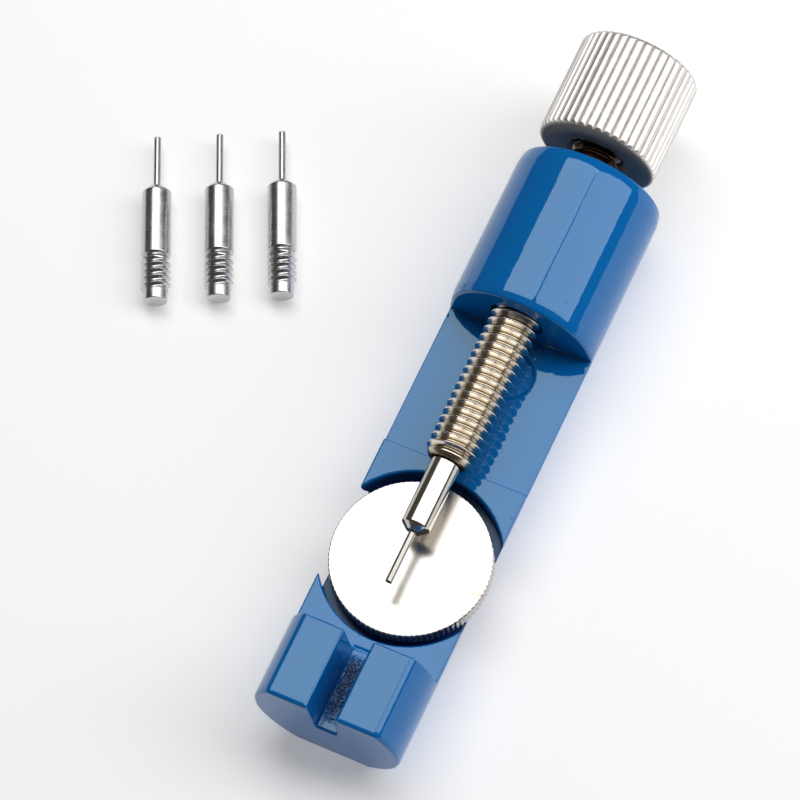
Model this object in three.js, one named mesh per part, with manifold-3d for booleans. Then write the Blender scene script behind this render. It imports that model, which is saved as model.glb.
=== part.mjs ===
// Watch bracelet link press: a cut-away round bar whose screw pushes a thin needle
// towards a pair of jaws, over a wheel that supports the bracelet, with three spare tips.
// Millimetres, +Z up. Origin: on the middle line of the flat that the bar rests on.
// +X points from the jaws to the knob.

import * as THREE from "three";
import { mergeVertices } from "three/addons/utils/BufferGeometryUtils.js";
import Module from "manifold-3d";

const wasm = await Module();
wasm.setup();

// Bar
const BAR_R = 9;
const BAR_AXIS_Z = 7.75;
const BAR_LOW_X = -36.1;
const BAR_BACK_X = 36.45;
const BAR_SIDES = 96;
const CUT_TOP_Z = 20;

// Jaws at the low end of the bar
const JAW_BACK_X = -25.95;
const JAW_TOP_Z = 13.8;
const SLOT_TOP_HALF = 1.8;
const SLOT_FLOOR_HALF = 1.3;

// Flats between the jaws and the barrel
const LAND_Z = 7.72;
const STEP_X = -1.6;
const LOW_LAND_Z = 7.1;
const BARREL_X = 16.35;

// Support wheel, its pocket and its threaded stem
const WHEEL_X = -13.7;
const WHEEL_R = 9.45;
const WHEEL_TOP_Z = 7.6;
const WHEEL_THICK = 2;
const WHEEL_CHAMFER = 0.25;
const WHEEL_SIDES = 72;
const POCKET_R = 10.5;
const POCKET_FLOOR_Z = 4.9;
const STEM_R = 2.5;
const STEM_BOTTOM_Z = 0.6;

// Feed screw and knob, both on the screw axis, a little to one side of the bar's middle
const SCREW_AXIS_Y = 0.25;
const SCREW_AXIS_Z = 11.2;
const SCREW_R = 3;
const SCREW_NOSE_X = -2.73;
const SCREW_BACK_X = 48.32;
const SCREW_CHAMFER = 0.6;
const KNOB_R = 7.35;
const KNOB_FRONT_X = 38.72;
const KNOB_BACK_X = 51.57;
const KNOB_FLUTES = 42;
const KNOB_FLUTE_DEPTH = 0.35;

// Tip: a holder with a threaded shank behind and a needle in front
const NEEDLE_R = 0.425;
const NEEDLE_OUT = 6.5;
const NEEDLE_IN = 3.5;
const HOLDER_R = 1.75;
const HOLDER_LENGTH = 9.1;
const NOSE_R = 0.85;
const NOSE_LENGTH = 0.75;
const SHANK_LENGTH = 4.5;
const PEG_R = 1.42;
const PEG_LENGTH = 1.3;

// Spare tips, lying side by side next to the bar
const SPARE_COUNT = 3;
const SPARE_MIDDLE_X = 18.3;
const SPARE_MIDDLE_Y = 40.6;
const SPARE_PITCH = 7.5;
const SPARE_YAW = THREE.MathUtils.degToRad(25.5);

// Clearance left between pieces that touch, and the reach of a cutter past a face
const GAP = 0.3;
const REACH = 1;
const FINE_SIDES = 40;
const NEEDLE_SIDES = 16;

const COLOURS = {
  enamel: { color: 0x0a5aa8, roughness: 0.22, metalness: 0.0 },
  nickel: { color: 0xd8d4cc, roughness: 0.35, metalness: 1.0 },
  screw: { color: 0xb5aa9a, roughness: 0.3, metalness: 1.0 },
  polished: { color: 0xd5d3cf, roughness: 0.12, metalness: 1.0 },
};

// Closed triangle soup to a manifold solid, leaving out the slivers at a lathe's poles.
function solid(geometry) {
  const bare = geometry.clone();
  bare.deleteAttribute("normal");
  bare.deleteAttribute("uv");
  const merged = mergeVertices(bare, 1e-4);
  const corners = merged.index.array;
  const kept = [];
  for (let i = 0; i < corners.length; i += 3) {
    const [a, b, c] = [corners[i], corners[i + 1], corners[i + 2]];
    if (a !== b && b !== c && c !== a) kept.push(a, b, c);
  }
  return new wasm.Manifold(new wasm.Mesh({
    numProp: 3,
    vertProperties: Float32Array.from(merged.attributes.position.array),
    triVerts: Uint32Array.from(kept),
  }));
}

function geometryOf(manifold) {
  const mesh = manifold.getMesh();
  const geometry = new THREE.BufferGeometry();
  geometry.setAttribute("position", new THREE.BufferAttribute(mesh.vertProperties, 3));
  geometry.setIndex(new THREE.BufferAttribute(mesh.triVerts, 1));
  geometry.computeVertexNormals();
  return geometry;
}

// An outline drawn in Y and Z, extruded along X.
function prismX(shape, fromX, toX) {
  const geometry = new THREE.ExtrudeGeometry(shape, { depth: toX - fromX, bevelEnabled: false });
  geometry.applyMatrix4(new THREE.Matrix4().makeBasis(
    new THREE.Vector3(0, 1, 0), new THREE.Vector3(0, 0, 1), new THREE.Vector3(1, 0, 0)));
  return geometry.translate(fromX, 0, 0);
}

function polygon(points) {
  return new THREE.Shape(points.map(([u, v]) => new THREE.Vector2(u, v)));
}

function blockX(fromX, toX, fromZ, toZ) {
  const half = BAR_R + REACH;
  return prismX(polygon([[-half, fromZ], [half, fromZ], [half, toZ], [-half, toZ]]), fromX, toX);
}

// Profiles are lists of [radius, distance along the axis], from low to high.
function turned(profile, sides) {
  return new THREE.LatheGeometry(profile.map(([r, at]) => new THREE.Vector2(r, at)), sides);
}

function turnedX(profile, sides) {
  return turned(profile, sides).rotateZ(-Math.PI / 2);
}

function onScrewAxis(profile) {
  return turnedX(profile, FINE_SIDES).translate(0, SCREW_AXIS_Y, SCREW_AXIS_Z);
}

function turnedZ(profile, sides, axisX) {
  return turned(profile, sides).rotateX(Math.PI / 2).translate(axisX, 0, 0);
}

function rod(radius, from, to) {
  return [[0, from], [radius, from], [radius, to], [0, to]];
}

// The bar: round stock with a rest flat, cut away between the jaws and the barrel.
function bodySolid() {
  const halfFlat = Math.acos(BAR_AXIS_Z / BAR_R);
  const section = [];
  for (let i = 0; i <= BAR_SIDES; i += 1) {
    const angle = -Math.PI / 2 + halfFlat + (2 * (Math.PI - halfFlat) * i) / BAR_SIDES;
    section.push([BAR_R * Math.cos(angle), BAR_AXIS_Z + BAR_R * Math.sin(angle)]);
  }
  section[0][1] = 0;
  section[BAR_SIDES][1] = 0;
  const slot = polygon([
    [-SLOT_FLOOR_HALF, LAND_Z],
    [SLOT_FLOOR_HALF, LAND_Z],
    [SLOT_TOP_HALF, JAW_TOP_Z],
    [SLOT_TOP_HALF, CUT_TOP_Z],
    [-SLOT_TOP_HALF, CUT_TOP_Z],
    [-SLOT_TOP_HALF, JAW_TOP_Z],
  ]);
  const cutters = [
    blockX(BAR_LOW_X - REACH, STEP_X, JAW_TOP_Z, CUT_TOP_Z),
    blockX(JAW_BACK_X, STEP_X, LAND_Z, CUT_TOP_Z),
    blockX(STEP_X, BARREL_X, LOW_LAND_Z, CUT_TOP_Z),
    prismX(slot, BAR_LOW_X - REACH, JAW_BACK_X + REACH),
    turnedZ(rod(POCKET_R, POCKET_FLOOR_Z, CUT_TOP_Z), WHEEL_SIDES, WHEEL_X),
    turnedZ(rod(STEM_R + GAP, -REACH, POCKET_FLOOR_Z + REACH), FINE_SIDES, WHEEL_X),
    onScrewAxis(rod(SCREW_R + GAP, BARREL_X - REACH, BAR_BACK_X + REACH)),
  ];
  const bar = solid(prismX(polygon(section), BAR_LOW_X, BAR_BACK_X));
  return cutters.reduce((rest, cutter) => rest.subtract(solid(cutter)), bar);
}

function wheelSolid() {
  const bottom = WHEEL_TOP_Z - WHEEL_THICK;
  const rim = WHEEL_R - WHEEL_CHAMFER;
  return solid(turnedZ([
    [0, bottom],
    [rim, bottom],
    [WHEEL_R, bottom + WHEEL_CHAMFER],
    [WHEEL_R, WHEEL_TOP_Z - WHEEL_CHAMFER],
    [rim, WHEEL_TOP_Z],
    [0, WHEEL_TOP_Z],
  ], WHEEL_SIDES, WHEEL_X));
}

function stemSolid() {
  const top = WHEEL_TOP_Z - WHEEL_THICK - GAP;
  return solid(turnedZ(rod(STEM_R, STEM_BOTTOM_Z, top), FINE_SIDES, WHEEL_X));
}

// The feed screw, with a blind hole in its nose for the tip's shank.
function screwSolid() {
  const body = solid(onScrewAxis([
    [0, SCREW_NOSE_X],
    [SCREW_R - SCREW_CHAMFER, SCREW_NOSE_X],
    [SCREW_R, SCREW_NOSE_X + SCREW_CHAMFER],
    [SCREW_R, SCREW_BACK_X],
    [0, SCREW_BACK_X],
  ]));
  const holeEnd = SCREW_NOSE_X + SHANK_LENGTH + PEG_LENGTH + GAP;
  const hole = rod(HOLDER_R + GAP, SCREW_NOSE_X - REACH, holeEnd);
  return body.subtract(solid(onScrewAxis(hole)));
}

// The knob: straight flutes round it and a blind hole for the screw.
function knobSolid() {
  const outline = [];
  for (let i = 0; i < KNOB_FLUTES; i += 1) {
    const start = (2 * Math.PI * i) / KNOB_FLUTES;
    const steps = [[0, KNOB_R - KNOB_FLUTE_DEPTH], [0.25, KNOB_R], [0.75, KNOB_R]];
    for (const [share, r] of steps) {
      const angle = start + (2 * Math.PI * share) / KNOB_FLUTES;
      outline.push([SCREW_AXIS_Y + r * Math.cos(angle), SCREW_AXIS_Z + r * Math.sin(angle)]);
    }
  }
  const body = solid(prismX(polygon(outline), KNOB_FRONT_X, KNOB_BACK_X));
  const hole = rod(SCREW_R + GAP, KNOB_FRONT_X - REACH, SCREW_BACK_X + GAP);
  return body.subtract(solid(onScrewAxis(hole)));
}

// A tip's own frame: needle towards -X, the holder's shoulder at x = 0, axis on X.
function holderSolid() {
  const body = solid(turnedX([
    [0, -HOLDER_LENGTH],
    [NOSE_R, -HOLDER_LENGTH],
    [HOLDER_R, -HOLDER_LENGTH + NOSE_LENGTH],
    [HOLDER_R, SHANK_LENGTH],
    [PEG_R, SHANK_LENGTH],
    [PEG_R, SHANK_LENGTH + PEG_LENGTH],
    [0, SHANK_LENGTH + PEG_LENGTH],
  ], FINE_SIDES));
  const hole = rod(NEEDLE_R + GAP / 2, -HOLDER_LENGTH - REACH, -HOLDER_LENGTH + NEEDLE_IN + GAP);
  return body.subtract(solid(turnedX(hole, NEEDLE_SIDES)));
}

function needleSolid() {
  const tip = -HOLDER_LENGTH - NEEDLE_OUT;
  return solid(turnedX(rod(NEEDLE_R, tip, -HOLDER_LENGTH + NEEDLE_IN), NEEDLE_SIDES));
}

function named(name, manifold, colours) {
  const mesh = new THREE.Mesh(geometryOf(manifold), new THREE.MeshStandardMaterial(colours));
  mesh.name = name;
  return mesh;
}

function tip(holderName, needleName) {
  const group = new THREE.Group();
  group.add(named(holderName, holderSolid(), COLOURS.polished));
  group.add(named(needleName, needleSolid(), COLOURS.polished));
  return group;
}

// Spare tips lie with their needles pointing away from the bar's low end.
function spareTips() {
  const row = new THREE.Group();
  const middle = (SHANK_LENGTH + PEG_LENGTH - HOLDER_LENGTH - NEEDLE_OUT) / 2;
  for (let i = 0; i < SPARE_COUNT; i += 1) {
    const spare = tip(`spare_holder_${i + 1}`, `spare_needle_${i + 1}`);
    spare.rotation.z = Math.PI + SPARE_YAW;
    const across = (i - (SPARE_COUNT - 1) / 2) * SPARE_PITCH;
    spare.position.set(
      SPARE_MIDDLE_X + across * Math.sin(SPARE_YAW) + middle * Math.cos(SPARE_YAW),
      SPARE_MIDDLE_Y - across * Math.cos(SPARE_YAW) + middle * Math.sin(SPARE_YAW),
      HOLDER_R);
    row.add(spare);
  }
  return row;
}

const press = new THREE.Group();
press.add(named("body", bodySolid(), COLOURS.enamel));
press.add(named("support_wheel", wheelSolid(), COLOURS.nickel));
press.add(named("wheel_stem", stemSolid(), COLOURS.screw));
press.add(named("feed_screw", screwSolid(), COLOURS.screw));
press.add(named("knob", knobSolid(), COLOURS.nickel));

const mountedTip = tip("tip_holder", "tip_needle");
mountedTip.position.set(SCREW_NOSE_X, SCREW_AXIS_Y, SCREW_AXIS_Z);
press.add(mountedTip);
press.add(spareTips());

export default press;
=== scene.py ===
"""Watch bracelet link press: the looks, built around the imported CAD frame.

Shapes are worked out in millimetres in the row frame and turned into metres when a
mesh is made. Places and main sizes come from the CAD nodes' boxes; the constants are
what a box cannot say: edge radii, threads, knurls, colours, lights.
"""

import math

import bmesh
import bpy
import numpy as np
from mathutils import Matrix, Vector


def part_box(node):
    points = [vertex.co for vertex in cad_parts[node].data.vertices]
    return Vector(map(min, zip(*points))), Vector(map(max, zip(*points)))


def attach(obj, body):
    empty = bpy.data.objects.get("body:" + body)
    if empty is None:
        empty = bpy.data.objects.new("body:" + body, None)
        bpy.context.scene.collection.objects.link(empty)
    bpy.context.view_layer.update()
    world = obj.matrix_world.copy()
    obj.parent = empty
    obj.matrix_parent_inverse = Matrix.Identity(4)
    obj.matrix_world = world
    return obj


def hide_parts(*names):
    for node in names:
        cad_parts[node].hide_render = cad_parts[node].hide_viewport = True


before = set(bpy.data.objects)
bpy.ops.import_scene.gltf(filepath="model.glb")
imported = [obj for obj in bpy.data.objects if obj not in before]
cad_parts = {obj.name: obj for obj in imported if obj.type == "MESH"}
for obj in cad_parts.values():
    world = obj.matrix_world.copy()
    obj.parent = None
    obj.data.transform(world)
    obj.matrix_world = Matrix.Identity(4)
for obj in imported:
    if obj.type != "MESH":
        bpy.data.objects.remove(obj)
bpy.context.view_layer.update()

MM = 0.001
TURN = 2 * math.pi

# Bar: the parts of its shape that its box cannot say, in millimetres.
JAW_BACK_X = -25.95
JAW_TOP_Z = 13.8
SLOT_TOP_HALF = 1.8
SLOT_FLOOR_HALF = 1.3
SLOT_PAST_JAW = 0.2
LAND_Z = 7.72
STEP_X = -1.6
LOW_LAND_Z = 7.1
BARREL_X = 16.35
LAND_CUT_SHORT = 1.0
POCKET_R = 10.5
POCKET_FLOOR_Z = 4.9

# A shallow round tool mark in the low flat, under the screw.
MARK_X = 11.2
MARK_Y = -0.95
MARK_R = 2.7
MARK_DEPTH = 0.08
MARK_SOFTNESS = 0.4

# Radii of the enamelled edges and inner corners.
BACK_RIM_R = 0.4
FRONT_RIM_R = 0.3
END_RIM_R = 0.3
JAW_EDGE_R = 0.3
JAW_TOP_EDGE_R = 0.22
LAND_EDGE_R = 0.22
STEP_EDGE_R = 0.12
HOLE_EDGE_R = 0.3
CORNER_R = 0.15
SLOT_CORNER_R = 0.25
SLOT_END_R = 0.1

# The slot's floor is lumpy: the lumps' height, and for each of two crossing waves its
# radians per millimetre, how far it wanders, and the radians per millimetre of that.
SLOT_LUMP = 0.012
SLOT_WAVES = ((2.1, 2.0, 1.7), (2.6, 1.7, 1.3))

# The enamel slopes away softly before an edge: how far in, how steeply, how soft.
BACK_SHOULDER = 1.35
FRONT_SHOULDER = 1.05
END_SHOULDER = 0.55
JAW_SHOULDER = 0.32
BAR_SLOPE = math.radians(11)
JAW_SLOPE = math.radians(16)
SHOULDER_BLEND = 0.09
SHOULDER_FADE = 1.5

# The skin that becomes the enamelled bar.
BODY_VOXEL = 0.18
PROJECTION_STEPS = 6
GRADIENT_STEP = 0.01

# Threads: pitch and depth, and how soon the grooves are deep and the crests high.
SCREW_PITCH = 1.09
SCREW_DEPTH = 0.66
SCREW_RUN_IN = 0.9
SCREW_LEAD_SLOPE = 0.8
STEM_PITCH = 0.8
STEM_DEPTH = 0.45
SHANK_PITCH = 0.85
SHANK_DEPTH = 0.3
SHORT_RUN_IN = 0.08
THREAD_SIDES = 72
END_CHAMFER = 0.1
RUNNING_GAP = 0.08
WELD_DISTANCE = 0.001

# One turn of a thread: share of the pitch, and height as a share of the depth.
THREAD_PROFILE = ((0.0, 1.0), (0.05, 0.98), (0.08, 0.9), (0.35, 0.09), (0.39, 0.0),
                  (0.5, 0.0), (0.61, 0.0), (0.65, 0.09), (0.92, 0.9), (0.95, 0.98))

# Knurled pieces: ridges and sides per ridge, groove depth, the groove's share of the
# pitch, the crown's share of the depth, and the rounded chamfer at each end. The knob's
# bore flares at its mouth and ends a gap behind the screw.
KNOB_RIDGES = 42
KNOB_RIDGE_SIDES = 16
KNOB_GROOVE = 0.34
KNOB_GROOVE_SHARE = 0.5
KNOB_CROWN = 0.35
KNOB_CHAMFER = 0.6
KNOB_BORE_FLARE = 0.7
KNOB_BORE_GAP = 0.1
WHEEL_RIDGES = 92
WHEEL_RIDGE_SIDES = 10
WHEEL_GROOVE = 0.2
WHEEL_GROOVE_SHARE = 0.8
WHEEL_CROWN = 0.3
WHEEL_CHAMFER = 0.2
CHAMFER_STEPS = 6

# Underside of the wheel: a recess between a boss and the rim.
WHEEL_BOSS_WALL = 0.9
WHEEL_RIM_WIDTH = 1.3
WHEEL_RECESS = 0.4
RECESS_SLOPE = 0.3

# Rings that divide the flat end faces: in from the edge, and nearest the middle.
KNOB_FACE_MARGIN = 0.3
WHEEL_FACE_MARGIN = 0.15
MIDDLE_RING_R = 0.4

# Tip: nose cone, sleeve, threaded shank with a peg, and needle.
NOSE_R = 0.85
NOSE_LENGTH = 0.75
SLEEVE_CHAMFER_LENGTH = 0.15
SLEEVE_CHAMFER = 0.12
NECK_START = 0.05
SHANK_START = 0.3
SHANK_LENGTH = 4.5
PEG_R = 1.42
PEG_RING_R = 0.3
NEEDLE_OUT = 6.5
NEEDLE_GAP = 0.01
NEEDLE_END_GAP = 0.1
NEEDLE_RING_R = 0.05
NEEDLE_SIDES = 32
SPARE_YAW = math.radians(25.5)

# Colours, as linear red, green and blue.
ENAMEL_DEEP = (0.0004, 0.136, 0.455)
ENAMEL_LIGHT = (0.0006, 0.152, 0.49)
# Thin enamel on the slot's floor, and painted shade down in the pocket.
ENAMEL_THIN_AND_SHADE = (0.001, 0.03, 0.2)
ENAMEL_GRIT = (0.002, 0.008, 0.02)
ENAMEL_SHINE = (0.74, 1.0, 1.0)
WARM_NICKEL = (0.82, 0.76, 0.68)
# Grime and painted shade in the screw's and the stem's thread roots.
SCREW_GRIME_AND_SHADE = (0.45, 0.38, 0.28)
STEM_GRIME_AND_SHADE = (0.16, 0.12, 0.08)
# Brown painted shade on the screw in the gap between the barrel and the knob.
GAP_SHADE_BROWN = (0.16, 0.085, 0.04)
KNOB_NICKEL = (0.86, 0.83, 0.8)
# Grime and painted shade in the knob's grooves.
KNOB_GRIME_AND_SHADE = (0.4, 0.39, 0.37)
WHEEL_NICKEL = (0.58, 0.56, 0.53)
WHEEL_STAIN = (0.24, 0.2, 0.15)
SLEEVE_NICKEL = (0.66, 0.62, 0.56)
NEEDLE_STEEL = (0.34, 0.33, 0.295)
SPARE_STEEL = (0.62, 0.62, 0.62)
SPARE_NEEDLE_STEEL = (0.5, 0.5, 0.5)
FLOOR_WHITE = (0.94, 0.94, 0.94)
FLOOR_SHADE = (0.92, 0.92, 0.92)
WORLD_COLOUR = (0.075, 0.07, 0.065)

# Enamel: its gloss, where it is full and where it is thin; its clouds, ripples, pits and
# grit in waves or cells per millimetre; a pit's radii in cells; and how far the enamel
# on the slot's floor is thin.
ENAMEL_ROUGHNESS = 0.03
THIN_ROUGHNESS = 0.36
ENAMEL_SPECULAR = 0.62
CLOUD_SCALE = 0.12
PEEL_SCALE = 0.55
PIT_SCALE = 0.22
PIT_R = 0.03
PIT_EDGE_R = 0.045
GRIT_SCALE = 6.0
FLOOR_THINNESS = 0.85

# Painted shade down in the pocket: how far below the flats it starts and is full, and how
# far outside the pocket's radius it is absent and full.
POCKET_SHADE_TOP = 0.35
POCKET_SHADE_FULL = 0.9
POCKET_FADE = (0.05, 0.02)

# Edges of the thin patch on the slot's floor, each as where it is absent and where it is
# full: outwards from the floor's side, in height over and under the floor, and along X
# from the jaws' backs and from the bar's low end.
SLOT_MASK_SIDE = (0.05, -0.3)
SLOT_MASK_HEIGHTS = ((0.35, 0.1), (-0.3, -0.15))
SLOT_MASK_BACK = (-0.5, -2.0)
SLOT_MASK_END = (1.0, 3.0)

# Metals: the brightness of the duller parts, and the grain in waves per millimetre, with
# how far it is squeezed round the axis.
TURNED_DIM = 0.86
GROOVED_DIM = 0.9
TURNED_GRAIN = 3.0
DRAWN_GRAIN = 5.0
FACING_GRAIN = 6.0
RING_STRETCH = 0.02

# Grime and painted shade fill a thread up to just above its root. Brown painted shade
# covers the screw behind the barrel, in the gap before the knob.
GRIME_AND_SHADE_ABOVE_ROOT = 0.05
GAP_SHADE_START = 0.5
GAP_SHADE_FADE = 1.0

# Stains on the wheel: waves per millimetre, where the pattern starts, and the radius at
# which they are strongest.
STAIN_SCALE = 0.42
STAIN_SHIFT = (3, 7, 0)
STAIN_R = 9.0

# Camera, with its place and target in millimetres.
CAMERA_AT = Vector((-153.0, -110.0, 474.3))
CAMERA_AIM = Vector((3.34, 9.25, 7.75))
CAMERA_UP = Vector((0.856, 0.363, 0.369))
CAMERA_LENS = 198.6
CAMERA_CLIP = 0.01

# Two light panels side by side above the bar, as seen from the barrel: the angle from
# straight up towards +Y (across), the half angle spanned across, and the radiance.
PANEL_DISTANCE = 600
PANEL_ALONG = math.radians(21)
PANEL_HALF_LENGTH = 165
PANELS = {
    "panel_left": {"across": 13.8, "half_across": 22.6, "radiance": 3.25},
    "panel_right": {"across": -42.3, "half_across": 28.2, "radiance": 3.0},
}
FLOOR_HALF = 3000
FLOOR_GLOW = 0.29


def node_box(node):
    """A CAD node's corners at rest, in millimetres."""
    low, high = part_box(node)
    return low / MM, high / MM


def middle(box):
    return (box[0] + box[1]) / 2


def half_size(box):
    return (box[1] - box[0]) / 2


# Places and radii that the CAD nodes give.
BODY_BOX = node_box("body")
BAR_R = half_size(BODY_BOX).y
WHEEL_BOX = node_box("support_wheel")
WHEEL_X = middle(WHEEL_BOX).x
WHEEL_R = half_size(WHEEL_BOX).y
STEM_BOX = node_box("wheel_stem")
STEM_R = half_size(STEM_BOX).y
SCREW_BOX = node_box("feed_screw")
SCREW_Y = middle(SCREW_BOX).y
SCREW_Z = middle(SCREW_BOX).z
SCREW_R = half_size(SCREW_BOX).z
KNOB_BOX = node_box("knob")
KNOB_R = half_size(KNOB_BOX).y
HOLDER_BOX = node_box("tip_holder")
HOLDER_R = half_size(HOLDER_BOX).z
HOLDER_LENGTH = SCREW_BOX[0].x - HOLDER_BOX[0].x
PEG_LENGTH = HOLDER_BOX[1].x - SCREW_BOX[0].x - SHANK_LENGTH
NEEDLE_BOX = node_box("tip_needle")
NEEDLE_R = half_size(NEEDLE_BOX).z
NEEDLE_IN = NEEDLE_BOX[1].x - HOLDER_BOX[0].x


# ---------------------------------------------------------------- meshes

def mesh_object(name, vertices, faces):
    """An object in the scene from vertices in millimetres."""
    mesh = bpy.data.meshes.new(name)
    mesh.from_pydata((np.asarray(vertices) * MM).tolist(), [], faces)
    mesh.shade_smooth()
    obj = bpy.data.objects.new(name, mesh)
    bpy.context.scene.collection.objects.link(obj)
    return obj


def even_normals(obj):
    """Large faces keep their own direction, so that flats next to small radii stay flat."""
    modifier = obj.modifiers.new("even_normals", "WEIGHTED_NORMAL")
    modifier.mode = "FACE_AREA"
    modifier.weight = 80
    return obj


def softened(corners, steps=4):
    """Rounds a profile's corners. A corner is (along, radius, rounding)."""
    points = []
    for i, (along, radius, rounding) in enumerate(corners):
        corner = np.array((along, radius), float)
        if rounding == 0:
            points.append(corner)
            continue
        before = np.array(corners[i - 1][:2]) - corner
        after = np.array(corners[i + 1][:2]) - corner
        just_under_half = 0.49 * np.array([np.linalg.norm(before), np.linalg.norm(after)])
        reach = min(rounding, *just_under_half)
        start = corner + before * (reach / np.linalg.norm(before))
        end = corner + after * (reach / np.linalg.norm(after))
        for t in np.linspace(0, 1, steps + 1):
            points.append((1 - t) ** 2 * start + 2 * t * (1 - t) * corner + t * t * end)
    return [(float(a), float(r)) for a, r in points]


def lathe_grid(rows, sides):
    """Places along the axis and radii, a line per row and a column per side. A row is
    (along, radius), where the radius is a number or one value per side."""
    along = np.array([np.full(sides, row[0]) for row in rows], float)
    radius = np.array([np.broadcast_to(row[1], sides) for row in rows], float)
    return along, radius


def around_axis(along, radius, origin, axis):
    """Points of such a grid round the X or the Z axis."""
    angle = np.arange(along.shape[1]) * (TURN / along.shape[1])
    across, up = radius * np.cos(angle), radius * np.sin(angle)
    order = (along, across, up) if axis == "X" else (across, up, along)
    return np.stack(order, -1).reshape(-1, 3) + np.array(origin, float)


def lathe_faces(first, rows, sides):
    """Quads of a lathe grid whose first point has that number."""
    ring = np.arange(sides)
    low = first + np.arange(rows - 1)[:, None] * sides
    here, beside = low + ring, low + np.roll(ring, -1)
    return np.stack([here, beside, beside + sides, here + sides], -1).reshape(-1, 4).tolist()


def turned(name, rows, sides, origin, axis="X"):
    """A closed solid of revolution, with rows from the low pole round the outside to the
    high pole."""
    points = around_axis(*lathe_grid(rows, sides), origin, axis)
    faces = lathe_faces(0, len(rows), sides)
    ring = np.arange(sides)
    beside = np.roll(ring, -1)
    low_pole, high_pole = len(points), len(points) + 1
    last = len(points) - sides
    faces += np.stack([np.full(sides, low_pole), beside, ring], 1).tolist()
    faces += np.stack([np.full(sides, high_pole), last + ring, last + beside], 1).tolist()
    poles = [points[:sides].mean(0), points[last:].mean(0)]
    return mesh_object(name, np.vstack([points, poles]), faces)


def thread_grid(start, end, major, pitch, depth, run_in, lead_slope=1.0):
    """A grid of a right-hand thread, whose lines keep their depth and climb one pitch a
    turn. Lines past either end are held there. The grooves are at full depth after
    run_in, and the crests rise from the root at both ends."""
    lines_per_turn = len(THREAD_PROFILE)
    turns = math.ceil((end - start) / pitch) + 2
    share, height = np.array(THREAD_PROFILE * turns).T
    line = np.arange(len(share)) // lines_per_turn + share
    side = np.arange(THREAD_SIDES) / THREAD_SIDES
    along = np.clip(start + (line[:, None] + side - 1) * pitch, start, end)
    fade = np.clip((along - start) / run_in, 0, 1)
    root = major - depth
    lead_in = root + (along - start) * lead_slope
    lead_out = root + end - along
    flank = major - depth * (1 - height[:, None]) * fade
    return along, np.minimum(flank, np.minimum(lead_in, lead_out))


def thread_faces(first, lines):
    """Quads of a thread grid; its last side meets its first one a turn further on."""
    turn = len(THREAD_PROFILE)
    line = np.arange(lines - 1)[:, None]
    side = np.arange(THREAD_SIDES - 1)
    low = first + line * THREAD_SIDES + side
    faces = np.stack([low, low + 1, low + THREAD_SIDES + 1, low + THREAD_SIDES], -1)
    line = np.arange(lines - 1 - turn)
    last = first + (line + 1) * THREAD_SIDES - 1
    met = first + (line + turn) * THREAD_SIDES
    seam = np.stack([last, met, met + THREAD_SIDES, last + THREAD_SIDES], -1)
    return np.vstack([faces.reshape(-1, 4), seam]).tolist()


def threaded(name, before, thread, after, origin, axis="X"):
    """A closed turned solid with a thread in the middle of it. The rows before and after
    the thread meet its ends, at its root."""
    grids = [lathe_grid(before, THREAD_SIDES), thread, lathe_grid(after, THREAD_SIDES)]
    starts = np.cumsum([0] + [along.size for along, _ in grids])
    along = np.vstack([grid[0] for grid in grids])
    radius = np.vstack([grid[1] for grid in grids])
    points = around_axis(along, radius, origin, axis)
    faces = lathe_faces(starts[0], len(before), THREAD_SIDES)
    faces += thread_faces(starts[1], len(thread[0]))
    faces += lathe_faces(starts[2], len(after), THREAD_SIDES)
    faces.append(list(range(THREAD_SIDES))[::-1])
    faces.append(list(range(len(points) - THREAD_SIDES, len(points))))
    piece = mesh_object(name, points, faces)
    weld(piece)
    return even_normals(piece)


def weld(piece):
    """Joins points that lie on each other, and drops the faces that shrink to nothing."""
    mesh = bmesh.new()
    mesh.from_mesh(piece.data)
    bmesh.ops.remove_doubles(mesh, verts=mesh.verts, dist=WELD_DISTANCE * MM)
    mesh.to_mesh(piece.data)
    mesh.free()
    piece.data.shade_smooth()


def knurl(sides, ridges, radius, depth, share, crown):
    """Radius at each side of crowned ridges with V grooves between them."""
    place = (np.arange(sides) * ridges / sides) % 1
    into = np.clip(1 - np.abs(2 * place - 1) / share, 0, 1)
    from_ridge = 2 * np.minimum(place, 1 - place)
    return radius - depth * (1 - crown) * into - depth * crown * from_ridge ** 2


def knurled_rows(start, end, outer, chamfer, ridges_at):
    """Rows of a knurled rim with a rounded chamfer at each end."""
    bend = np.linspace(0, math.pi / 2, CHAMFER_STEPS)
    inset = chamfer * (1 - np.cos(bend))
    cap = outer - chamfer * (1 - np.sin(bend))
    steps = [(i, np.minimum(ridges_at, c)) for i, c in zip(inset, cap)]
    return [(start + i, r) for i, r in steps] + [(end - i, r) for i, r in reversed(steps)]


# ---------------------------------------------------------------- body

def rounded_max(a, b, radius):
    """The larger distance, with a round of that radius where the two surfaces meet."""
    inside = np.minimum(-radius, np.maximum(a, b))
    return inside + np.hypot(np.maximum(radius + a, 0), np.maximum(radius + b, 0))


def blended_max(a, b, reach):
    """The larger distance, blended where the two are within reach of each other."""
    return np.maximum(a, b) + reach / 4 * np.clip(1 - np.abs(a - b) / reach, 0, 1) ** 2


def carve(shape, cutter, radius):
    """What the cutter leaves of a shape, with edges of that radius."""
    return rounded_max(shape, -cutter, radius)


def shoulder(face, side, width, slope):
    """A slope that starts a width inside the side and falls away from the face."""
    return face * math.cos(slope) + (side + width) * math.sin(slope)


def edged(face, side, width, slope, radius):
    """A face that slopes away softly before it rounds over into a side."""
    sloped = blended_max(face, shoulder(face, side, width, slope), SHOULDER_BLEND * width)
    return rounded_max(sloped, side, radius)


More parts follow.
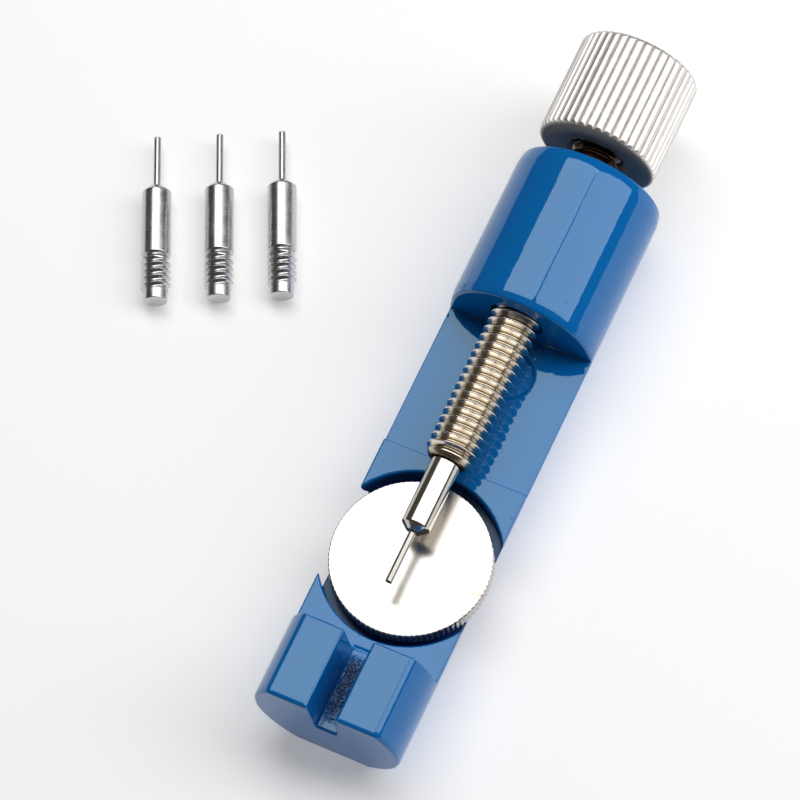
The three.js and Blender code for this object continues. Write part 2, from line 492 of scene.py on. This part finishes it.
def bar_distance(x, y, z):
    """The round bar with its rest flat and its two end faces, before any cut."""
    low, high = BODY_BOX
    shape = rounded_max(np.hypot(y, z - high.z + BAR_R) - BAR_R, low.z - z, END_RIM_R)
    shape = edged(shape, x - high.x, BACK_SHOULDER, BAR_SLOPE, BACK_RIM_R)
    return edged(shape, low.x - x, END_SHOULDER, BAR_SLOPE, END_RIM_R)


def cut_lands(shape, x, z):
    """The two flats between the jaws and the barrel, and the barrel's front edge. The
    high flat's cut stops short of the barrel, which the low flat's cut shapes."""
    above = np.clip((z - LOW_LAND_Z) / SHOULDER_FADE, 0, 1)
    slope = shoulder(shape, BARREL_X - x, FRONT_SHOULDER * above, BAR_SLOPE)
    slope = np.minimum(slope, np.minimum(z - LOW_LAND_Z, x - BARREL_X + SHOULDER_FADE))
    shape = blended_max(shape, slope, SHOULDER_BLEND * FRONT_SHOULDER)
    land = np.maximum(LAND_Z - z, x - BARREL_X + LAND_CUT_SHORT)
    land = rounded_max(land, JAW_BACK_X - x, CORNER_R)
    shape = carve(shape, land, LAND_EDGE_R)
    low_land = rounded_max(LOW_LAND_Z - z, x - BARREL_X, CORNER_R)
    low_land = rounded_max(low_land, STEP_X - x, CORNER_R)
    at_barrel = above * np.clip(x - BARREL_X + SHOULDER_FADE, 0, 1)
    return carve(shape, low_land, STEP_EDGE_R + (FRONT_RIM_R - STEP_EDGE_R) * at_barrel)


def slot_wave(along, across, wave):
    speed, wander, wander_speed = wave
    return np.sin(speed * along + wander * np.sin(wander_speed * across))


def cut_slot(shape, x, y, z):
    """The slot between the jaws: sloping sides and a rough-cast floor."""
    widening = (SLOT_TOP_HALF - SLOT_FLOOR_HALF) / (JAW_TOP_Z - LAND_Z)
    side = np.abs(y) - SLOT_FLOOR_HALF - widening * (z - LAND_Z)
    lumps = slot_wave(x, y, SLOT_WAVES[0]) * slot_wave(y, x, SLOT_WAVES[1])
    slot = rounded_max(side, LAND_Z - z + SLOT_LUMP * lumps, SLOT_CORNER_R)
    slot = rounded_max(slot, x - JAW_BACK_X - SLOT_PAST_JAW, SLOT_END_R)
    return carve(shape, slot, JAW_EDGE_R)


def cut_holes(shape, x, y, z):
    """The wheel's pocket and stem hole, the screw's bore, and a round tool mark."""
    from_wheel = np.hypot(x - WHEEL_X, y)
    pocket = rounded_max(from_wheel - POCKET_R, POCKET_FLOOR_Z - z, CORNER_R)
    shape = carve(shape, pocket, LAND_EDGE_R)
    shape = carve(shape, from_wheel - STEM_R - RUNNING_GAP, HOLE_EDGE_R)
    bore = np.hypot(y - SCREW_Y, z - SCREW_Z) - SCREW_R - RUNNING_GAP
    shape = carve(shape, np.maximum(bore, STEP_X - x), HOLE_EDGE_R)
    from_mark = np.hypot(x - MARK_X, y - MARK_Y) - MARK_R
    return carve(shape, np.maximum(from_mark, LOW_LAND_Z - MARK_DEPTH - z), MARK_SOFTNESS)


def body_distance(points):
    """Signed distance to the enamelled bar, in millimetres; negative inside."""
    x, y, z = points.T
    shape = bar_distance(x, y, z)
    shape = cut_lands(shape, x, z)
    shape = cut_slot(shape, x, y, z)
    jaw_top = np.minimum(z - JAW_TOP_Z, STEP_X - x)
    shape = edged(jaw_top, shape, JAW_SHOULDER, JAW_SLOPE, JAW_TOP_EDGE_R)
    return cut_holes(shape, x, y, z)


def distance_gradient(distance, points):
    """The direction in which the distance grows, from a small step each way."""
    gradient = np.empty_like(points)
    for k in range(3):
        step = np.zeros(3)
        step[k] = GRADIENT_STEP
        gradient[:, k] = distance(points + step) - distance(points - step)
    return gradient / np.linalg.norm(gradient, axis=1, keepdims=True).clip(1e-9)


def make_body():
    """A fine even skin over the CAD bar, moved onto the bar with its rounded edges."""
    source = bpy.data.objects.new("body_skin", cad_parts["body"].data.copy())
    bpy.context.scene.collection.objects.link(source)
    remesh = source.modifiers.new("skin", "REMESH")
    remesh.mode = "VOXEL"
    remesh.voxel_size = BODY_VOXEL * MM
    depsgraph = bpy.context.evaluated_depsgraph_get()
    mesh = bpy.data.meshes.new_from_object(source.evaluated_get(depsgraph))
    bpy.data.objects.remove(source)
    mesh.materials.clear()
    points = np.empty(len(mesh.vertices) * 3)
    mesh.vertices.foreach_get("co", points)
    points = points.reshape(-1, 3) / MM
    for _ in range(PROJECTION_STEPS):
        points -= body_distance(points)[:, None] * distance_gradient(body_distance, points)
    mesh.vertices.foreach_set("co", (points * MM).ravel())
    mesh.update()
    mesh.shade_smooth()
    mesh.normals_split_custom_set_from_vertices(distance_gradient(body_distance, points))
    body = bpy.data.objects.new("enamelled_body", mesh)
    bpy.context.scene.collection.objects.link(body)
    return body


# ---------------------------------------------------------------- turned pieces

def make_screw():
    low, high = SCREW_BOX
    root = SCREW_R - SCREW_DEPTH
    start, end = low.x + END_CHAMFER, high.x - END_CHAMFER
    socket = HOLDER_R + RUNNING_GAP
    before = softened([
        (low.x + SHANK_LENGTH + PEG_LENGTH, socket, 0),
        (low.x, socket, 0.08),
        (low.x, root - END_CHAMFER, 0.05),
        (start, root, 0),
    ])
    thread = thread_grid(start, end, SCREW_R, SCREW_PITCH, SCREW_DEPTH, SCREW_RUN_IN,
                         SCREW_LEAD_SLOPE)
    after = [(end, root), (high.x, root - END_CHAMFER)]
    return threaded("feed_screw_threaded", before, thread, after, (0, SCREW_Y, SCREW_Z))


def make_knob():
    low, high = KNOB_BOX
    sides = KNOB_RIDGES * KNOB_RIDGE_SIDES
    ridges = knurl(sides, KNOB_RIDGES, KNOB_R, KNOB_GROOVE, KNOB_GROOVE_SHARE, KNOB_CROWN)
    inner = KNOB_R - KNOB_CHAMFER
    bore = SCREW_R + RUNNING_GAP
    rows = softened([
        (SCREW_BOX[1].x + KNOB_BORE_GAP, bore, 0),
        (low.x + KNOB_BORE_FLARE, bore, 0.1),
        (low.x, bore + KNOB_BORE_FLARE, 0.1),
        (low.x, inner, 0),
    ])
    rows += knurled_rows(low.x, high.x, KNOB_R, KNOB_CHAMFER, ridges)
    rows += [(high.x, r) for r in (inner - KNOB_FACE_MARGIN, KNOB_R / 2, MIDDLE_RING_R)]
    return even_normals(turned("knurled_knob", rows, sides, (0, SCREW_Y, SCREW_Z)))


def make_wheel():
    low, high = WHEEL_BOX
    sides = WHEEL_RIDGES * WHEEL_RIDGE_SIDES
    ridges = knurl(sides, WHEEL_RIDGES, WHEEL_R, WHEEL_GROOVE, WHEEL_GROOVE_SHARE, WHEEL_CROWN)
    inner = WHEEL_R - WHEEL_CHAMFER
    boss = STEM_R + WHEEL_BOSS_WALL
    rim = WHEEL_R - WHEEL_RIM_WIDTH
    rows = softened([
        (low.z, MIDDLE_RING_R, 0),
        (low.z, boss, 0.1),
        (low.z + WHEEL_RECESS, boss + RECESS_SLOPE, 0.15),
        (low.z + WHEEL_RECESS, rim - RECESS_SLOPE, 0.15),
        (low.z, rim, 0.15),
        (low.z, inner, 0),
    ])
    rows += knurled_rows(low.z, high.z, WHEEL_R, WHEEL_CHAMFER, ridges)
    rows += [(high.z, r) for r in (inner - WHEEL_FACE_MARGIN, WHEEL_R / 2, MIDDLE_RING_R)]
    return even_normals(turned("knurled_wheel", rows, sides, (WHEEL_X, 0, 0), "Z"))


def make_stem():
    low, high = STEM_BOX
    root = STEM_R - STEM_DEPTH
    start = low.z + END_CHAMFER
    before = [(low.z, root - END_CHAMFER), (start, root)]
    thread = thread_grid(start, high.z, STEM_R, STEM_PITCH, STEM_DEPTH, SHORT_RUN_IN)
    return threaded("threaded_stem", before, thread, [(high.z, root)], (WHEEL_X, 0, 0), "Z")


def holder_mesh(name):
    """A tip holder in the tip's own frame: needle towards -X, shoulder at x = 0."""
    nose = -HOLDER_LENGTH
    neck = HOLDER_R - SHANK_DEPTH
    socket = NEEDLE_R + NEEDLE_GAP
    before = softened([
        (nose + NEEDLE_IN, socket, 0),
        (nose, socket, 0.04),
        (nose, NOSE_R, 0.12),
        (nose + NOSE_LENGTH, HOLDER_R, 0.15),
        (-SLEEVE_CHAMFER_LENGTH, HOLDER_R, 0.08),
        (0, HOLDER_R - SLEEVE_CHAMFER, 0.06),
        (NECK_START, neck, 0.04),
        (SHANK_START, neck, 0),
    ])
    thread = thread_grid(SHANK_START, SHANK_LENGTH, HOLDER_R, SHANK_PITCH, SHANK_DEPTH,
                         SHORT_RUN_IN)
    after = softened([
        (SHANK_LENGTH, neck, 0),
        (SHANK_LENGTH, PEG_R, 0.02),
        (SHANK_LENGTH + PEG_LENGTH, PEG_R, 0.12),
        (SHANK_LENGTH + PEG_LENGTH, PEG_RING_R, 0),
    ])
    return threaded(name, before, thread, after, (0, 0, 0))


def needle_mesh(name):
    tip = -HOLDER_LENGTH - NEEDLE_OUT
    end = -HOLDER_LENGTH + NEEDLE_IN - NEEDLE_END_GAP
    rows = softened([
        (tip, NEEDLE_RING_R, 0),
        (tip, NEEDLE_R, 0.12),
        (end, NEEDLE_R, 0.02),
        (end, NEEDLE_RING_R, 0),
    ])
    return even_normals(turned(name, rows, NEEDLE_SIDES, (0, 0, 0)))


def place_tip(piece, place, yaw):
    """Bakes the place into the mesh, so that the object stays at the origin."""
    turn = Matrix.Translation(Vector(place) * MM) @ Matrix.Rotation(yaw, 4, "Z")
    piece.data.transform(turn)
    return piece


# ---------------------------------------------------------------- materials

def rgba(colour, share=1.0):
    """A colour with its alpha, dimmed to a share."""
    return (*(c * share for c in colour), 1.0)


class Paint:
    """A material with a Principled shader, and short ways to add nodes to it."""

    def __init__(self, name, colour, metallic, roughness, **sockets):
        self.material = bpy.data.materials.new(name)
        self.material.use_nodes = True
        self.tree = self.material.node_tree
        self.shader = self.tree.nodes["Principled BSDF"]
        self.shader.inputs["Base Color"].default_value = rgba(colour)
        self.shader.inputs["Metallic"].default_value = metallic
        self.shader.inputs["Roughness"].default_value = roughness
        for socket, value in sockets.items():
            self.shader.inputs[socket.replace("_", " ")].default_value = value

    def node(self, kind, inputs, output=0, **settings):
        """One output of a new node, whose inputs are given values or other outputs."""
        node = self.tree.nodes.new(kind)
        for key, value in settings.items():
            setattr(node, key, value)
        for key, value in inputs.items():
            if isinstance(value, bpy.types.NodeSocket):
                self.tree.links.new(value, node.inputs[key])
            else:
                node.inputs[key].default_value = value
        return node.outputs[output]

    def drive(self, socket, value):
        self.tree.links.new(value, self.shader.inputs[socket])

    def place(self, scale=(1, 1, 1), shift=(0, 0, 0)):
        """Where a point is on the piece, in millimetres, shifted and then scaled."""
        here = self.node("ShaderNodeTexCoord", {}, "Object")
        moved = self.node("ShaderNodeVectorMath", {0: here, 1: Vector(shift) * MM},
                          operation="SUBTRACT")
        return self.node("ShaderNodeVectorMath", {0: moved, 1: Vector(scale) / MM},
                         operation="MULTIPLY")

    def along(self, axis, vector):
        return self.node("ShaderNodeSeparateXYZ", {0: vector}, axis)

    def math(self, operation, a, b=0.0):
        return self.node("ShaderNodeMath", {0: a, 1: b}, operation=operation)

    def length(self, vector):
        return self.node("ShaderNodeVectorMath", {0: vector}, "Value", operation="LENGTH")

    def noise(self, vector, scale, detail=2.0, roughness=0.5):
        return self.node("ShaderNodeTexNoise", {"Vector": vector, "Scale": scale,
                                                "Detail": detail, "Roughness": roughness}, "Fac")

    def span(self, value, low, high, to_low=0.0, to_high=1.0):
        """A value between low and high, moved to between to_low and to_high."""
        return self.node("ShaderNodeMapRange", {"Value": value, "From Min": low, "From Max": high,
                                                "To Min": to_low, "To Max": to_high})

    def mix(self, share, a, b):
        return self.node("ShaderNodeMix", {0: share, 6: a, 7: b}, 2, data_type="RGBA")

    def bump(self, height, strength, distance, normal=None):
        """Relief of that distance, in millimetres, on top of any other relief."""
        inputs = {"Height": height, "Strength": strength, "Distance": distance * MM}
        if normal is not None:
            inputs["Normal"] = normal
        return self.node("ShaderNodeBump", inputs)


def slot_floor_mask(paint):
    """1 on the slot's floor, away from its open ends."""
    place = paint.place(shift=(0, 0, LAND_Z))
    from_middle = paint.math("ABSOLUTE", paint.along("Y", place))
    out, inside = SLOT_MASK_SIDE
    mask = paint.span(from_middle, SLOT_FLOOR_HALF + out, SLOT_FLOOR_HALF + inside)
    low_end = BODY_BOX[0].x
    edges = [("Z", 0, fade) for fade in SLOT_MASK_HEIGHTS]
    edges += [("X", JAW_BACK_X, SLOT_MASK_BACK), ("X", low_end, SLOT_MASK_END)]
    for axis, edge, (out, inside) in edges:
        fade = paint.span(paint.along(axis, place), edge + out, edge + inside)
        mask = paint.math("MULTIPLY", mask, fade)
    return mask


def pocket_shade_mask(paint):
    """1 down in the wheel's pocket, where shade is painted; 0 on the flats round it."""
    from_axis = paint.length(paint.place(scale=(1, 1, 0), shift=(WHEEL_X, 0, 0)))
    out, inside = POCKET_FADE
    within = paint.span(from_axis, POCKET_R + out, POCKET_R + inside)
    height = paint.along("Z", paint.place())
    below = paint.span(height, LAND_Z - POCKET_SHADE_TOP, LAND_Z - POCKET_SHADE_FULL)
    return paint.math("MULTIPLY", within, below)


def enamel():
    """Stoved gloss enamel: slight orange peel, a few pits, thin and gritty on the slot's floor,
    and darker and rougher down in the pocket, as painted shade."""
    paint = Paint("gloss_blue_enamel", ENAMEL_DEEP, 0.0, ENAMEL_ROUGHNESS,
                  Specular_IOR_Level=ENAMEL_SPECULAR, Specular_Tint=rgba(ENAMEL_SHINE))
    where = paint.place()
    cloud = paint.noise(where, CLOUD_SCALE, 3.0)
    colour = paint.mix(cloud, rgba(ENAMEL_DEEP), rgba(ENAMEL_LIGHT))
    floor = slot_floor_mask(paint)
    # Thin enamel on the slot's floor, and painted shade down in the pocket.
    thin_and_shade = paint.math("MAXIMUM", paint.math("MULTIPLY", floor, FLOOR_THINNESS), pocket_shade_mask(paint))
    grit = paint.span(paint.noise(where, GRIT_SCALE, 3.0, 0.7), 0.5, 0.62)
    gritty = paint.math("MULTIPLY", floor, grit)
    colour = paint.mix(thin_and_shade, colour, rgba(ENAMEL_THIN_AND_SHADE))
    paint.drive("Base Color", paint.mix(gritty, colour, rgba(ENAMEL_GRIT)))
    paint.drive("Roughness", paint.span(thin_and_shade, 0, 1, ENAMEL_ROUGHNESS, THIN_ROUGHNESS))
    peel = paint.noise(where, PEEL_SCALE, 2.0, 0.4)
    cells = paint.node("ShaderNodeTexVoronoi", {"Vector": where, "Scale": PIT_SCALE}, "Distance")
    normal = paint.bump(peel, 0.14, 0.12)
    normal = paint.bump(paint.span(cells, PIT_R, PIT_EDGE_R), 0.35, 0.05, normal)
    paint.drive("Normal", paint.bump(gritty, 0.7, 0.12, normal))
    return paint.material


def turned_nickel(name, colour, roughness, grain):
    """Nickel plate with fine marks round the X axis, as a lathe leaves them."""
    paint = Paint(name, colour, 1.0, roughness)
    rings = paint.noise(paint.place(scale=(1, RING_STRETCH, RING_STRETCH)), grain, 3.0, 0.6)
    cloud = paint.noise(paint.place(), 0.7, 3.0)
    paint.drive("Base Color", paint.mix(cloud, rgba(colour, TURNED_DIM), rgba(colour)))
    paint.drive("Roughness", paint.span(cloud, 0.2, 0.8, roughness * 0.8, roughness * 1.25))
    paint.drive("Normal", paint.bump(rings, 0.12, 0.02))
    return paint.material


def grooved_nickel(name, colour, grime_and_shade, roughness, centre, deep, shallow, flatten, gap_shade_from=None):
    """Nickel plate darkened where the surface lies deep, nearest the piece's axis: grime and
    painted shade in the roots and grooves. Past a place along X, if one is given, brown
    painted shade covers it."""
    paint = Paint(name, colour, 1.0, roughness)
    radius = paint.length(paint.place(scale=flatten, shift=centre))
    cloud = paint.noise(paint.place(), 1.1, 4.0, 0.6)
    ragged = paint.math("ADD", radius, paint.span(cloud, 0, 1, -0.06, 0.06))
    clean_and_lit = paint.span(ragged, deep, shallow)
    bright = paint.mix(cloud, rgba(colour, GROOVED_DIM), rgba(colour))
    # Darker where the surface lies deep: grime and painted shade in the roots and grooves.
    plated = paint.mix(clean_and_lit, rgba(grime_and_shade), bright)
    if gap_shade_from is not None:
        # Brown painted shade on the screw behind the barrel, in the gap before the knob.
        past = paint.span(paint.along("X", paint.place()), gap_shade_from - GAP_SHADE_FADE, gap_shade_from)
        patchy = paint.span(cloud, 0.3, 0.5, 0.7, 1.0)
        plated = paint.mix(paint.math("MULTIPLY", past, patchy), plated, rgba(GAP_SHADE_BROWN))
    paint.drive("Base Color", plated)
    paint.drive("Roughness", paint.span(clean_and_lit, 0, 1, roughness * 1.7, roughness))
    grain = paint.noise(paint.place(), 9.0, 3.0, 0.7)
    paint.drive("Normal", paint.bump(grain, 0.12, 0.02))
    return paint.material


def wheel_nickel():
    """Faced nickel plate: faint rings round the wheel's axis, warm stains towards the rim."""
    paint = Paint("faced_nickel", WHEEL_NICKEL, 1.0, 0.22)
    radius = paint.length(paint.place(scale=(1, 1, 0), shift=(WHEEL_X, 0, 0)))
    ring_place = paint.node("ShaderNodeCombineXYZ", {"X": radius, "Y": 0.0, "Z": 0.0})
    rings = paint.noise(ring_place, FACING_GRAIN, 4.0, 0.6)
    stain = paint.noise(paint.place(shift=STAIN_SHIFT), STAIN_SCALE, 3.0, 0.55)
    near_rim = paint.span(radius, 0.5 * STAIN_R, STAIN_R, 0.5, 1.0)
    stained = paint.math("MULTIPLY", paint.span(stain, 0.5, 0.86), near_rim)
    paint.drive("Base Color", paint.mix(stained, rgba(WHEEL_NICKEL), rgba(WHEEL_STAIN)))
    paint.drive("Roughness", paint.span(rings, 0.2, 0.8, 0.2, 0.28))
    paint.drive("Normal", paint.bump(rings, 0.1, 0.02))
    return paint.material


def floor_white():
    """Matt white, slightly luminous like a light table."""
    paint = Paint("pale_floor", FLOOR_WHITE, 0.0, 0.6, Specular_IOR_Level=0.1,
                  Emission_Color=(1, 1, 1, 1), Emission_Strength=FLOOR_GLOW)
    fibre = paint.noise(paint.place(), 0.8, 3.0)
    paint.drive("Base Color", paint.mix(fibre, rgba(FLOOR_SHADE), rgba(FLOOR_WHITE)))
    return paint.material


# ---------------------------------------------------------------- stage

def make_floor():
    ends = ((-1, -1), (1, -1), (1, 1), (-1, 1))
    corners = [(FLOOR_HALF * x, FLOOR_HALF * y, 0) for x, y in ends]
    floor = mesh_object("floor", corners, [(0, 1, 2, 3)])
    floor.data.materials.append(floor_white())


def make_camera():
    data = bpy.data.cameras.new("camera")
    data.lens = CAMERA_LENS
    data.clip_start = CAMERA_CLIP
    camera = bpy.data.objects.new("camera", data)
    back = (CAMERA_AT - CAMERA_AIM).normalized()
    right = CAMERA_UP.cross(back).normalized()
    up = back.cross(right)
    rotation = Matrix((right, up, back)).transposed().to_4x4()
    camera.matrix_world = Matrix.Translation(CAMERA_AT * MM) @ rotation
    bpy.context.scene.collection.objects.link(camera)
    bpy.context.scene.camera = camera


def make_panel(name, across, half_across, radiance):
    """A light panel that faces the barrel."""
    angle = math.radians(across)
    towards = Vector((math.sin(PANEL_ALONG),
                      math.cos(PANEL_ALONG) * math.sin(angle),
                      math.cos(PANEL_ALONG) * math.cos(angle)))
    data = bpy.data.lights.new(name, "AREA")
    data.shape = "RECTANGLE"
    data.size = 2 * PANEL_HALF_LENGTH * MM
    data.size_y = 2 * PANEL_DISTANCE * math.tan(math.radians(half_across)) * MM
    data.energy = radiance * math.pi * data.size * data.size_y
    panel = bpy.data.objects.new(name, data)
    lengthwise = (Vector((1, 0, 0)) - towards * towards.x).normalized()
    rotation = Matrix((lengthwise, towards.cross(lengthwise), towards)).transposed().to_4x4()
    barrel = Vector(((BARREL_X + BODY_BOX[1].x) / 2, 0, SCREW_Z))
    panel.matrix_world = Matrix.Translation((barrel + towards * PANEL_DISTANCE) * MM) @ rotation
    panel.visible_camera = False
    bpy.context.scene.collection.objects.link(panel)


def make_stage():
    make_floor()
    make_camera()
    for name, panel in PANELS.items():
        make_panel(name, **panel)
    world = bpy.data.worlds.new("studio")
    world.use_nodes = True
    world.node_tree.nodes["Background"].inputs["Color"].default_value = rgba(WORLD_COLOUR)
    bpy.context.scene.world = world
    bpy.context.scene.view_settings.view_transform = "Standard"


# ---------------------------------------------------------------- the object

def add_piece(piece, node, body, material):
    piece.data.materials.append(material)
    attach(piece, body)
    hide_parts(node)


def add_tip(suffix, place, yaw, nodes, body, materials):
    holder = place_tip(holder_mesh("tip_holder_" + suffix), place, yaw)
    needle = place_tip(needle_mesh("needle_" + suffix), place, yaw)
    add_piece(holder, nodes[0], body, materials[0])
    add_piece(needle, nodes[1], body, materials[1])


def add_spares():
    """Three spare tips, each placed by the middle of its CAD needle."""
    steel = turned_nickel("spare_polished_steel", SPARE_STEEL, 0.27, TURNED_GRAIN)
    wire = turned_nickel("spare_needle_wire", SPARE_NEEDLE_STEEL, 0.3, DRAWN_GRAIN)
    towards_tip = Vector((math.cos(SPARE_YAW), math.sin(SPARE_YAW), 0))
    needle_middle = HOLDER_LENGTH + (NEEDLE_OUT - NEEDLE_IN) / 2
    for i in (1, 2, 3):
        place = middle(node_box(f"spare_needle_{i}")) - towards_tip * needle_middle
        add_tip(f"spare_{i}", place, math.pi + SPARE_YAW,
                (f"spare_holder_{i}", f"spare_needle_{i}"), f"spare_tip_{i}",
                (steel, wire))


def screw_nickel():
    root = SCREW_R - SCREW_DEPTH
    return grooved_nickel("screw_nickel", WARM_NICKEL, SCREW_GRIME_AND_SHADE, 0.16, (0, SCREW_Y, SCREW_Z),
                          root + GRIME_AND_SHADE_ABOVE_ROOT, SCREW_R - 0.25, (0, 1, 1),
                          BODY_BOX[1].x + GAP_SHADE_START)


def stem_nickel():
    root = STEM_R - STEM_DEPTH
    return grooved_nickel("stem_nickel", WARM_NICKEL, STEM_GRIME_AND_SHADE, 0.25, (WHEEL_X, 0, 0),
                          root + GRIME_AND_SHADE_ABOVE_ROOT, STEM_R - 0.15, (1, 1, 0))


def knob_nickel():
    return grooved_nickel("knob_nickel", KNOB_NICKEL, KNOB_GRIME_AND_SHADE, 0.4, (0, SCREW_Y, SCREW_Z),
                          KNOB_R - KNOB_GROOVE, KNOB_R - 0.12, (0, 1, 1))


def add_press():
    sleeve = turned_nickel("tip_polished_nickel", SLEEVE_NICKEL, 0.14, TURNED_GRAIN)
    wire = turned_nickel("needle_wire", NEEDLE_STEEL, 0.2, DRAWN_GRAIN)
    add_piece(make_body(), "body", "frame", enamel())
    add_piece(make_screw(), "feed_screw", "spindle", screw_nickel())
    add_piece(make_knob(), "knob", "spindle", knob_nickel())
    add_piece(make_wheel(), "support_wheel", "wheel", wheel_nickel())
    add_piece(make_stem(), "wheel_stem", "stem", stem_nickel())
    add_tip("mounted", (SCREW_BOX[0].x, SCREW_Y, SCREW_Z), 0.0, ("tip_holder", "tip_needle"),
            "tip_carrier", (sleeve, wire))


add_press()
add_spares()
make_stage()
